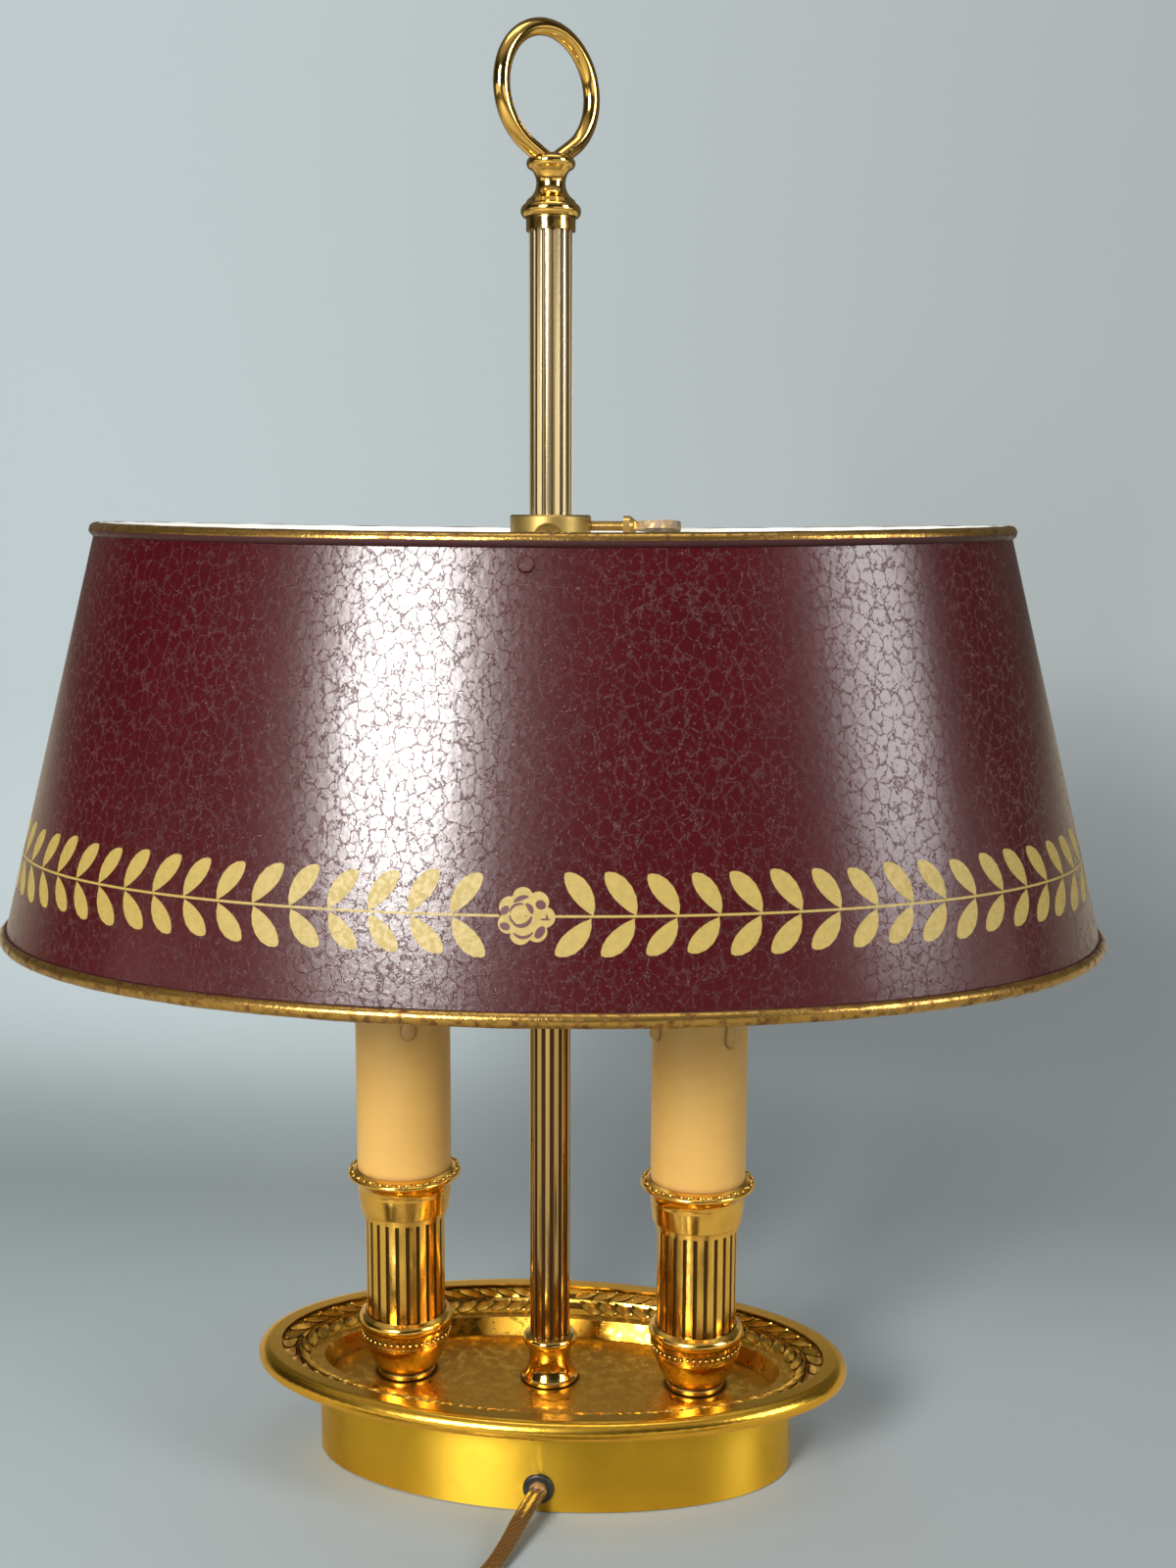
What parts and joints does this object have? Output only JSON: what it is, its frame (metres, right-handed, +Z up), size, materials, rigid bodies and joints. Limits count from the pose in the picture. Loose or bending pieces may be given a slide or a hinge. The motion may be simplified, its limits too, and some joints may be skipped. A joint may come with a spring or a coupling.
{
  "type": "bouillotte table lamp",
  "caption": "Table lamp with candle-style lights under an oval lacquered shade that slides and turns on a fluted column, with an oval dish base, ring finial, cord and in-line switch.",
  "frame": {"origin": "on the surface the lamp stands on, under the column's axis, at the middle of the lamp's footprint", "axes": "+Z up along the column; +X along the long axis of the oval base; -Y is the front, where the cord leaves"},
  "size_m": [0.3521, 0.312, 0.4434],
  "materials": {
    "gilt_cast": "satin, worn gilding with darker recesses",
    "brass_sheet": "satin, lightly tarnished",
    "brass_turned": "satin, aged",
    "lacquer": "glossy lacquer, crackled, white inside",
    "gilt_bead": "worn gilding",
    "candle_card": "matt ivory with wax drips",
    "socket_black": "glossy moulded",
    "shell_brass": "bright",
    "bulb_glass": "clear",
    "cap_metal": "bright",
    "steel": "zinc plated",
    "iron": "raw casting",
    "felt": "green felt",
    "rubber_black": "matt",
    "cord_gold": "clear gold flat twin cord",
    "cord_fitting": "glossy brown moulding",
    "rocker_plastic": "glossy dark brown",
    "nylon": "natural nylon",
    "porcelain_white": "glazed white",
    "wire_sleeve": "thin insulation",
    "tie_black": "coated wire"
  },
  "bodies": {
    "base": {"ballast": "iron", "bottom_plate": "steel", "coil_tie": "tie_black", "column": "brass_turned", "column_foot": "brass_turned", "cord_clamp": "socket_black", "cord_coil": "cord_gold", "cord_grommet": "rubber_black", "cord_lead": "cord_gold", "cord_run": "cord_gold", "cord_tail": "cord_gold", "felt_pad": "felt", "finial_ring": "brass_turned", "finial_vase": "brass_turned", "holder_nipples": "steel", "holder_nuts": "steel", "inner_lead": "cord_gold", "left_bulb_cap": "cap_metal", "left_bulb_glass": "bulb_glass", "left_candle_sleeve": "candle_card", "left_holder_bowl": "gilt_cast", "left_holder_cup": "gilt_cast", "left_holder_shaft": "gilt_cast", "left_socket": "socket_black", "left_socket_shell": "shell_brass", "left_wires": "wire_sleeve", "plate_screws": "steel", "plug_body": "cord_fitting", "plug_pins": "shell_brass", "right_bulb_cap": "cap_metal", "right_bulb_glass": "bulb_glass", "right_candle_sleeve": "candle_card", "right_holder_bowl": "gilt_cast", "right_holder_cup": "gilt_cast", "right_holder_shaft": "gilt_cast", "right_socket": "socket_black", "right_socket_shell": "shell_brass", "right_wires": "wire_sleeve", "skirt": "brass_sheet", "socket_contacts": "shell_brass", "spacer_tube": "steel", "switch_base": "cord_fitting", "switch_cover": "cord_fitting", "terminal_block": "porcelain_white", "tie_rod": "steel", "tie_rod_nut": "steel", "tie_rod_washer": "steel", "tray": "gilt_cast"},
    "collar_liner": {"collar_liner": "nylon"},
    "shade": {"shade_shell": "lacquer", "shade_top_bead": "gilt_bead", "shade_bottom_bead": "gilt_bead", "shade_collar": "brass_turned", "front_arm": "brass_turned", "back_arm": "brass_turned", "shade_rivets": "brass_turned"},
    "screw_pad": {"screw_tip_pad": "nylon"},
    "thumbscrew": {"thumbscrew": "brass_turned"},
    "switch_rocker": {"switch_rocker": "rocker_plastic"}
  },
  "joints": [
    {"name": "shade_height", "type": "slide", "parent": "base", "child": "collar_liner", "axis": [0, 0, 1], "range_m": [-0.02, 0.08]},
    {"name": "shade_swivel", "type": "hinge", "parent": "collar_liner", "child": "shade", "pos_m": [0, 0, 0.2956], "axis": [0, 0, 1], "continuous": true},
    {"name": "thumbscrew_travel", "type": "slide", "parent": "shade", "child": "screw_pad", "axis": [0.9987, 0.0506, 0], "range_m": [0, 0.0015]},
    {"name": "thumbscrew_turn", "type": "hinge", "parent": "screw_pad", "child": "thumbscrew", "pos_m": [0.00899, 0.00046, 0.2983], "axis": [0.9987, 0.0506, 0], "range_deg": [0, 1080]},
    {"name": "switch_rocker_tilt", "type": "hinge", "parent": "base", "child": "switch_rocker", "pos_m": [-0.1115, -0.1197, 0.0116], "axis": [0, 1, 0], "range_deg": [0, 16]}
  ],
  "couplings": [
    {"joint": "thumbscrew_turn", "follows": "thumbscrew_travel", "rad_per_m": 12566}
  ]
}
